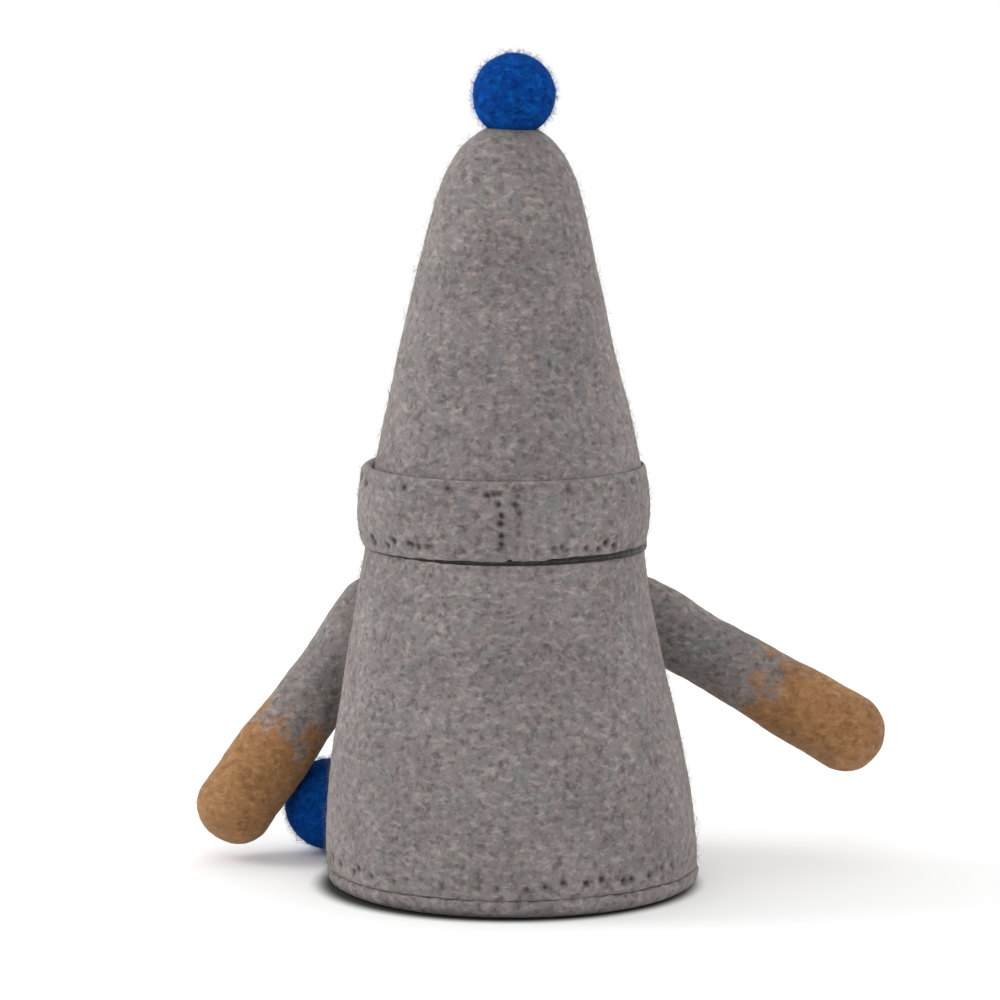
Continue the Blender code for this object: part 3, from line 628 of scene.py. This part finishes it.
def turned_wood(name):
    material, tree, shader = shaded(name, 0.55, specular=0.4)
    rings = add_node(tree, "ShaderNodeTexWave", {"Vector": object_vector(tree, (0.01, 0.02, 0)), "Scale": 120.0,
                                                 "Distortion": 6.0, "Detail": 3.0, "Detail Scale": 2.0})
    pores = grain(tree, object_vector(tree, scale=(1, 1, 0.2)), 1800.0)
    colour = blend_colour(tree, rings.outputs["Fac"], (0.52, 0.33, 0.16, 1), (0.36, 0.20, 0.085, 1))
    colour = blend_colour(tree, remap(tree, pores, 0.55, 0.75, 0.0, 0.5), colour, (0.20, 0.11, 0.05, 1))
    feed(tree, shader.inputs, {"Base Color": colour, "Roughness": remap(tree, pores, 0.3, 0.7, 0.45, 0.7)})
    raise_surface(tree, shader, pores, 0.0001, 0.3)
    return material


def finish_with(material, *nodes):
    for name in nodes:
        for holder in frame["nodes"][name].material_slots:
            holder.material = material


steel = drawn_wire("drawn_wire")
finish_with(steel, "left_shoulder_pin", "right_shoulder_pin", "left_arm_wire", "right_arm_wire")
finish_with(turned_wood("turned_wood"), "left_shoulder_button", "right_shoulder_button")


# ---------------------------------------------------------------- neck
# A knitted gusset slides between the sleeve's dome and the head, so that the head can nod and tilt. Its
# near-black colour is the knit's own dark grey deepened into painted shade, for the crease under the brim.


def ribbed_knit(name):
    material, tree, shader = shaded(name, 0.9, 0.3)
    where = object_vector(tree)
    rows = add_node(tree, "ShaderNodeTexWave", {"Vector": where, "Scale": 260.0, "Distortion": 1.0},
                    bands_direction="Z")
    loops = add_node(tree, "ShaderNodeTexVoronoi", {"Vector": where, "Scale": 600.0}).outputs[0]
    mixed = calc(tree, "MULTIPLY", rows.outputs["Fac"], loops)
    # Painted shade: the knit is made near black so that it stands in for the shadow in the crease under the
    # brim.
    colour = blend_colour(tree, mixed, (0.010, 0.009, 0.009, 1), (0.045, 0.041, 0.040, 1))
    feed(tree, shader.inputs, {"Base Color": colour})
    raise_surface(tree, shader, mixed, 0.0004, 0.8)
    return material


finish_with(ribbed_knit("ribbed_knit"), "neck_gusset")


# ---------------------------------------------------------------- head filling
# The head is packed with off-white core wool round a rolled card tube for the finger, with looser wool
# in the hat above it. Both show only from below, through the neck.

core_wool = wool("core_wool", (0.66, 0.62, 0.55, 1), (0.82, 0.79, 0.73, 1), (0.45, 0.41, 0.35, 1),
                 (0.60, 0.56, 0.47, 1), specks=0.2, sheen=0.3)
finish_with(core_wool, "head_core", "hat_stuffing")


def rolled_card(name):
    material, tree, shader = shaded(name, 0.85)
    lay = add_node(tree, "ShaderNodeTexWave", {"Vector": object_vector(tree, scale=(1, 1, 2)), "Scale": 70.0,
                                               "Distortion": 1.5, "Detail": 2.0}, bands_direction="DIAGONAL")
    pulp = grain(tree, object_vector(tree), 900.0, Detail=4.0)
    colour = blend_colour(tree, pulp, (0.33, 0.24, 0.15, 1), (0.52, 0.40, 0.27, 1))
    edge = remap(tree, lay.outputs["Fac"], 0.02, 0.10, 0.5, 0.0)
    colour = blend_colour(tree, edge, colour, (0.20, 0.14, 0.08, 1))
    feed(tree, shader.inputs, {"Base Color": colour})
    raise_surface(tree, shader, pulp, 0.0002, 0.5)
    return material


finish_with(rolled_card("rolled_card"), "finger_tube")


# ---------------------------------------------------------------- hat
# A tall cone of the grey felt with a blunt round tip, stretched over the filling. Its tip is drawn in
# where the pompom's thread passes.


def ball_of(node):
    """Centre and radius of a round node."""
    low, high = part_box(node)
    return (Vector(low) + Vector(high)) / 2, (high[0] - low[0]) / 2


def kept_off(vertices, centre, radius, chosen):
    """Moves the chosen vertices that are inside a ball out to its surface."""
    moved = vertices.copy()
    away = vertices - np.array(centre)
    distance = np.linalg.norm(away, axis=1)
    caught = (distance < radius) & chosen
    moved[caught] = np.array(centre) + away[caught] * (radius / distance[caught])[:, None]
    return moved


crown_radius = 0.0430
crown_wall = 0.0028
cone_top = (0.0246, 0.2165)
hat_top = 0.2455
seat = dome + 0.0016
brim_foot_radius = 0.0457
brim_low = pivot_z + math.sqrt(seat**2 - brim_foot_radius**2)
brim_top = brim_low + 0.0255
cap = hat_top - cone_top[1]
slope = (crown_radius - cone_top[0]) / (cone_top[1] - brim_top)
tip = curve_points(cone_top, (cone_top[0] - slope * 0.46 * cap, cone_top[1] + 0.46 * cap),
                   (0.61 * cone_top[0], hat_top), (0, hat_top), 30)
foot_z = pivot_z + math.sqrt(seat**2 - crown_radius**2)
outside = evenly([(crown_radius, foot_z), (crown_radius, brim_top - 0.004)], 0.003)[:-1]
outside += evenly([(crown_radius, brim_top - 0.004), (crown_radius - 0.0002, brim_top)] + tip, 0.0009)
ceiling = 0.2374
crown_inside = crown_radius - crown_wall
inside = evenly([(0, ceiling), (0.012, ceiling - 0.0022), (cone_top[0] - crown_wall - 0.0008, cone_top[1]),
                 (crown_inside, brim_top), (crown_inside, foot_z)], 0.004)
crown_segments = 330
vertices, faces = revolve(outside[::-1] + [(crown_inside, foot_z)] + inside[::-1][1:], crown_segments)
outward = normals_of(vertices, faces)
heights = vertices[:, 2]
skin = np.zeros(len(vertices), bool)
skin[: (len(outside) - 1) * crown_segments + 1] = True
loose = smooth_step(heights, brim_top - 0.003, brim_top + 0.002) * skin
vertices = felted(vertices, outward, 21.3, coarse=0.00045, share=loose)
vertices[:, 0] += np.interp(heights, [brim_top, 0.19, hat_top], [-0.0004, 0.0, -0.0012])
pompom_centre, pompom_radius = ball_of("hat_pompom")
vertices = kept_off(vertices, pompom_centre, pompom_radius + 0.0002, skin)
crown = piece("hat_felt", vertices, faces, grey_felt, "head")
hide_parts("hat_crown")
grown("hat_fuzz", vertices, faces, skin & (heights > brim_top - 0.001), grey_fibre, "head",
      Density=125000.0, Length=0.0040, Lean=0.72, Wander=1.3, Waves=320.0, Seed=8)


# ---------------------------------------------------------------- brim
# A band of thicker felt turned up round the hat. Its two ends meet at the back, where they were sewn and
# needled together, which left dimples on both sides of the seam and along the edges.

brim_inner = 0.0433
section = curve_points((0.0449, brim_top - 0.0002), (0.0460, brim_top - 0.0010), (0.0461, brim_top - 0.0035),
                       (0.0466, brim_top - 0.0080), 6)
section += curve_points(section[-1], (0.0472, brim_top - 0.0125), (0.0470, brim_low + 0.0070),
                        (0.0463, brim_low + 0.0040), 8)[1:]
section += curve_points(section[-1], (0.0459, brim_low + 0.0020), (brim_foot_radius, brim_low + 0.0002),
                        (0.0449, brim_low - 0.0004), 5)[1:]
under_z = pivot_z + math.sqrt(seat**2 - brim_inner**2)
section = evenly([(brim_inner, brim_top - 0.0010), (0.0439, brim_top + 0.0001)] + section, 0.0008)
section += [(brim_inner, under_z + 0.0004)]
section += evenly([(brim_inner, under_z + 0.0004), (brim_inner, brim_top - 0.0010)], 0.004)[1:-1]
vertices, faces = revolve(section, 460)
outward = normals_of(vertices, faces)
angle = np.arctan2(vertices[:, 1], vertices[:, 0])
radius = np.hypot(vertices[:, 0], vertices[:, 1])
heights = vertices[:, 2].copy()
outer = smooth_step(radius, 0.0434, 0.0446)
vertices = felted(vertices, outward, 33.9, coarse=0.00045, share=outer)
wavy = np.array([noise.noise(Vector((2.2 * math.cos(a), 2.2 * math.sin(a), 4.0))) for a in angle])
vertices[:, 2] += outer * smooth_step(heights, brim_top - 0.006, brim_top) * 0.0009 * wavy
lower = outer * (1 - smooth_step(heights, brim_low, brim_low + 0.009))
behind = np.maximum(0.0, np.sin(angle)) ** 2
ripple = np.array([noise.noise(Vector((9 * math.cos(a), 9 * math.sin(a), 2.0))) for a in angle])
vertices[:, 2] += lower * (0.0003 * wavy + 0.0004 * ripple - 0.004 * vertices[:, 0] + 0.0005 * behind)
vertices[:, 2] -= outer * smooth_step(heights, brim_top - 0.010, brim_top) * 0.0010 * behind
seam_x = -0.0016
across = vertices[:, 0] - seam_x
at_back = outer * (vertices[:, 1] > 0)
furrow = -0.0007 * np.exp(-((across / 0.00045) ** 2))
furrow = furrow + 0.00022 * np.exp(-(((np.abs(across) - 0.0014) / 0.0008) ** 2))
vertices += outward * (at_back * furrow)[:, None]
brim_edge_radius, brim_face_radius, lacing_radius = 0.0464, 0.0466, 0.0456
pit_inset, pit_scatter = 0.0036, 0.0012
rng = np.random.default_rng(29)
brim_pits = []
for height, count in ((brim_top - pit_inset, 30), (brim_low + pit_inset, 40)):
    for a in np.sort(rng.uniform(0, math.tau, count)):
        pit_z = height + rng.uniform(-pit_scatter, pit_scatter)
        brim_pits.append((brim_edge_radius * math.cos(a), brim_edge_radius * math.sin(a), pit_z))
for side in (-1, 1):
    for share in np.linspace(0.16, 0.90, 6):
        x = seam_x + side * rng.uniform(0.0019, 0.0038)
        z = brim_low + 0.001 + 0.93 * share * (brim_top - brim_low) + rng.uniform(-0.001, 0.001)
        brim_pits.append((x, math.sqrt(brim_face_radius**2 - x**2), z))
vertices, sink = pitted(vertices, outward, brim_pits)
brim_shift = 0.0009
vertices[:, 0] += outer * brim_shift
brim = piece("brim_felt", vertices, faces, grey_felt, "head")
# Painted shade in the brim's needle dimples.
paint_pit_shade(brim, sink)
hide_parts("hat_brim")
grown("brim_fuzz", vertices, faces, outer > 0.6, grey_fibre, "head",
      Density=125000.0, Length=0.0034, Lean=0.72, Wander=1.3, Waves=340.0, Seed=9)
lacing = []
for i, share in enumerate(np.linspace(0.12, 0.92, 9)):
    x = seam_x + (0.0013 if i % 2 else -0.0013)
    y = math.sqrt(lacing_radius**2 - x**2)
    lacing.append((x + brim_shift, y, brim_low + share * (brim_top - brim_low)))
seam_stitches = stitched("brim_seam_stitches", lacing, False, dark_thread, "head",
                         Pitch=0.0034, Stitch=0.0022, Thread=0.0004)
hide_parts("brim_seam_thread")


# ---------------------------------------------------------------- pompom
# A ball of blue wool, felted wet and tied through the hat's tip with blue thread.

blue_felt = wool("blue_felt", (0.0012, 0.0430, 0.2400, 1), (0.0030, 0.1000, 0.4200, 1),
                 (0.0008, 0.0150, 0.1050, 1), (0.0020, 0.0600, 0.2600, 1), contrast=0.9, specks=0.3, sheen=0.0)
blue_felt.node_tree.nodes["Principled BSDF"].inputs["Specular IOR Level"].default_value = 0.04
blue_fibre = wool("blue_fibre", (0.0050, 0.0700, 0.3200, 1), (0.0150, 0.1600, 0.4800, 1),
                  (0.0020, 0.0300, 0.1600, 1), (0.0030, 0.0900, 0.3400, 1), specks=0.0, sheen=0.1)
finish_with(twisted_thread("blue_thread", (0.004, 0.035, 0.15)), "pompom_thread")


def felt_ball(name, centre, radius, seed, material, fuzz, body, replaced, slot):
    """A hand-rolled ball: round, with soft flats and creases."""
    profile = [(radius * math.sin(a), radius * math.cos(a)) for a in np.linspace(0, math.pi, 80)]
    profile[0], profile[-1] = (0.0, radius), (0.0, -radius)
    vertices, faces = revolve(profile, 150)
    outward = vertices / radius
    vertices = felted(vertices, outward, seed, coarse=0.00040, middle=0.00016)
    vertices = vertices + np.array(centre)
    made = piece(name, vertices, faces, material, body)
    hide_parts(replaced)
    grown(name + "_fuzz", vertices, faces, np.ones(len(vertices), bool), fuzz, body,
          Density=900000.0, Length=0.0030, Lean=0.62, Wander=1.4, Waves=380.0,
          Seed=int(seed))


felt_ball("pompom", pompom_centre, pompom_radius, 41.0, blue_felt, blue_fibre, "head", "hat_pompom", "blue_felt")


# ---------------------------------------------------------------- nose
# A smaller ball of tan wool under the brim.

TAN = dict(base=(0.300, 0.150, 0.062, 1), pale=(0.450, 0.255, 0.118, 1), dark=(0.150, 0.064, 0.024, 1),
           tint=(0.240, 0.115, 0.045, 1))
tan_felt = wool("tan_felt", contrast=0.9, sheen=0.15, **TAN)
tan_fibre = wool("tan_fibre", (0.36, 0.20, 0.085, 1), (0.50, 0.31, 0.15, 1), (0.22, 0.11, 0.045, 1),
                 (0.30, 0.16, 0.07, 1), specks=0.0, sheen=0.2)
nose_centre, nose_radius = ball_of("nose")
felt_ball("nose_ball", nose_centre, nose_radius, 47.0, tan_felt, tan_fibre, "head", "nose", "tan_felt")


# ---------------------------------------------------------------- beard
# Combed off-white wool, needled on under the brim and nose and left hanging in wisps. It bends where it
# leaves the head.

beard_top, beard_root, beard_tip = brim_low - 0.0012, 0.0930, 0.0450
rows, columns = 90, 70
grid = []
for face_side in (1, 0):
    for i in range(rows + 1):
        v = i / rows
        z = beard_top + (beard_tip - beard_top) * v
        hang = min(1.0, max(0.0, (beard_root - z) / (beard_root - beard_tip)))
        half = math.radians(27.5) * (1 - hang**2.4) ** 0.55 * (0.94 + 0.06 * math.sin(7 * v)) + math.radians(1.2)
        back = max(math.sqrt(max(0.0, seat**2 - (z - pivot_z) ** 2)) if z > beard_root else 0.0,
                   sleeve_radius(z) + 0.0030 * (1 + hang) if z <= beard_root else 0.0,
                   math.sqrt(seat**2 - (beard_root - pivot_z) ** 2) if z <= beard_root else 0.0)
        thick = 0.0072 * (0.65 + 0.35 * min(1.0, (beard_top - z) / 0.012)) * (1 - 0.55 * hang**2)
        for j in range(columns + 1):
            u = 2 * j / columns - 1
            bow = math.sqrt(max(0.0, 1 - abs(u) ** 2.4))
            r = back + (thick * (0.30 + 0.70 * bow) if face_side else 0.0003)
            grid.append((r * math.sin(u * half), -r * math.cos(u * half), z))
vertices = np.array(grid)
wide = columns + 1
count = (rows + 1) * wide
faces = []
for i in range(rows):
    for j in range(columns):
        a = i * wide + j
        faces.append((a, a + wide, a + wide + 1, a + 1))
        b = count + a
        faces.append((b, b + 1, b + wide + 1, b + wide))
rim = list(range(wide)) + [i * wide + columns for i in range(1, rows + 1)]
rim += [rows * wide + j for j in range(columns - 1, -1, -1)] + [i * wide for i in range(rows - 1, 0, -1)]
for a, b in zip(rim, rim[1:] + rim[:1]):
    faces.append((a, b, b + count, a + count))
front = np.arange(len(vertices)) < count
outward = np.stack([vertices[:, 0], vertices[:, 1], np.zeros(len(vertices))], 1)
outward /= np.linalg.norm(outward, axis=1)[:, None]
locks = np.array([noise.noise(Vector((v[0] / 0.0035, v[1] / 0.0035, v[2] / 0.022))) for v in vertices])
vertices = vertices + outward * (front * 0.0011 * locks)[:, None]
vertices = kept_off(vertices, nose_centre, nose_radius + 0.0005, np.ones(len(vertices), bool))
beard_wool = wool("beard_wool", (0.62, 0.58, 0.52, 1), (0.80, 0.77, 0.71, 1), (0.40, 0.36, 0.31, 1),
                  (0.56, 0.51, 0.43, 1), specks=0.0, sheen=0.4, bump=0.0009)
beard = piece("beard_mass", vertices, faces, beard_wool)
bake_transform(beard)
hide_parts("beard_root", "beard")
strands = grown("beard_strands", vertices, faces, front & (vertices[:, 2] < beard_top - 0.0015), beard_wool,
                None, Density=1500000.0, Length=0.0120, Thickness=0.00022, Lean=0.25, Wander=0.75,
                Waves=170.0, Seed=13, Joints=6, Comb=(0.0, 0.0, -2.2))
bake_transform(strands)


# ---------------------------------------------------------------- arms
# Each arm is one stuffed roll of felt: grey wool for the sleeve, with tan wool needled over its end as a
# mitten and worked into the grey, so that the two colours mix in tufts.

arm_felt, tree, shader = shaded("arm_felt", 0.95, 0.2, (0.8, 0.66, 0.52, 1))
where = object_vector(tree)
grey, grey_height = marled(tree, where, **GREY)
tan = marled(tree, where, contrast=0.75, patches=0.4, specks=0.15, **TAN)[0]
along = add_node(tree, "ShaderNodeAttribute", attribute_name="along_arm").outputs["Fac"]
broad = grain(tree, where, 110.0, Detail=3.0)
tufts = grain(tree, where, 420.0, Detail=4.0, Roughness=0.7, Distortion=1.0)
ragged = calc(tree, "ADD", remap(tree, broad, 0.3, 0.7, -0.009, 0.009), along)
ragged = calc(tree, "ADD", remap(tree, tufts, 0.3, 0.7, -0.006, 0.006), ragged)
feed(tree, shader.inputs, {"Base Color": blend_colour(tree, remap(tree, ragged, 0.0395, 0.0535), grey, tan)})
raise_surface(tree, shader, grey_height, 0.0006, 0.8)

arm_radius, mitten_radius, arm_length = 0.0120, 0.0126, 0.0785
joints = {j["name"]: j for j in frame["joints"]}
rest_lift = {"left": math.radians(11), "right": math.radians(26)}
for side, seed in (("left", 53.0), ("right", 59.0)):
    eye = Vector(joints[f"{side}_arm_turn"]["pos_m"])
    from_wall = Vector(joints[f"{side}_arm_turn"]["axis"])
    from_wall *= 1 if from_wall.y < 0 else -1
    hinge = -Vector(joints[f"{side}_arm_lift"]["axis"])
    down = from_wall.cross(hinge)
    down = down if down.z < 0 else -down
    direction = Matrix.Rotation(-rest_lift[side], 3, hinge) @ down
    third = direction.cross(hinge)
    axes = np.array([hinge, third, -direction])
    root = arc_points(0.0, arm_radius, math.pi / 2, 0, 19)
    root[0] = (0.0, arm_radius)
    end = arc_points(-arm_length, mitten_radius, 0, -math.pi / 2, 19)
    end[-1] = (0.0, -arm_length - mitten_radius)
    vertices, faces = revolve(evenly(root + end, 0.0008), 96)
    outward = normals_of(vertices, faces)
    along = -vertices[:, 2]
    waist = 0.0006 * np.sin(along / arm_length * math.tau * 0.9 + seed)
    vertices = vertices + outward * waist[:, None] * smooth_step(along, 0.0, 0.015)[:, None]
    vertices = felted(vertices, outward, seed, coarse=0.0006, middle=0.0002)
    vertices = vertices @ axes + np.array(eye)
    arm = piece(f"{side}_arm", vertices, faces, arm_felt, f"{side}_arm")
    mark_vertices(arm, "along_arm", along)
    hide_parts(f"{side}_arm_felt", f"{side}_mitten")
    coats = (("arm", along < 0.050, grey_fibre, int(seed)), ("mitten", along > 0.042, tan_fibre, int(seed) + 1))
    for coat, chosen, fibre, fibre_seed in coats:
        grown(f"{side}_{coat}_fuzz", vertices, faces, chosen, fibre, f"{side}_arm",
              Density=420000.0, Length=0.0034, Lean=0.70, Wander=1.4, Waves=340.0, Seed=fibre_seed)


# ---------------------------------------------------------------- held ball
# A second blue felt ball, needled to the palm side of the left mitten.

felt_ball("hand_ball", *ball_of("held_ball"), 61.0, blue_felt, blue_fibre, "left_arm", "held_ball", "blue_felt")
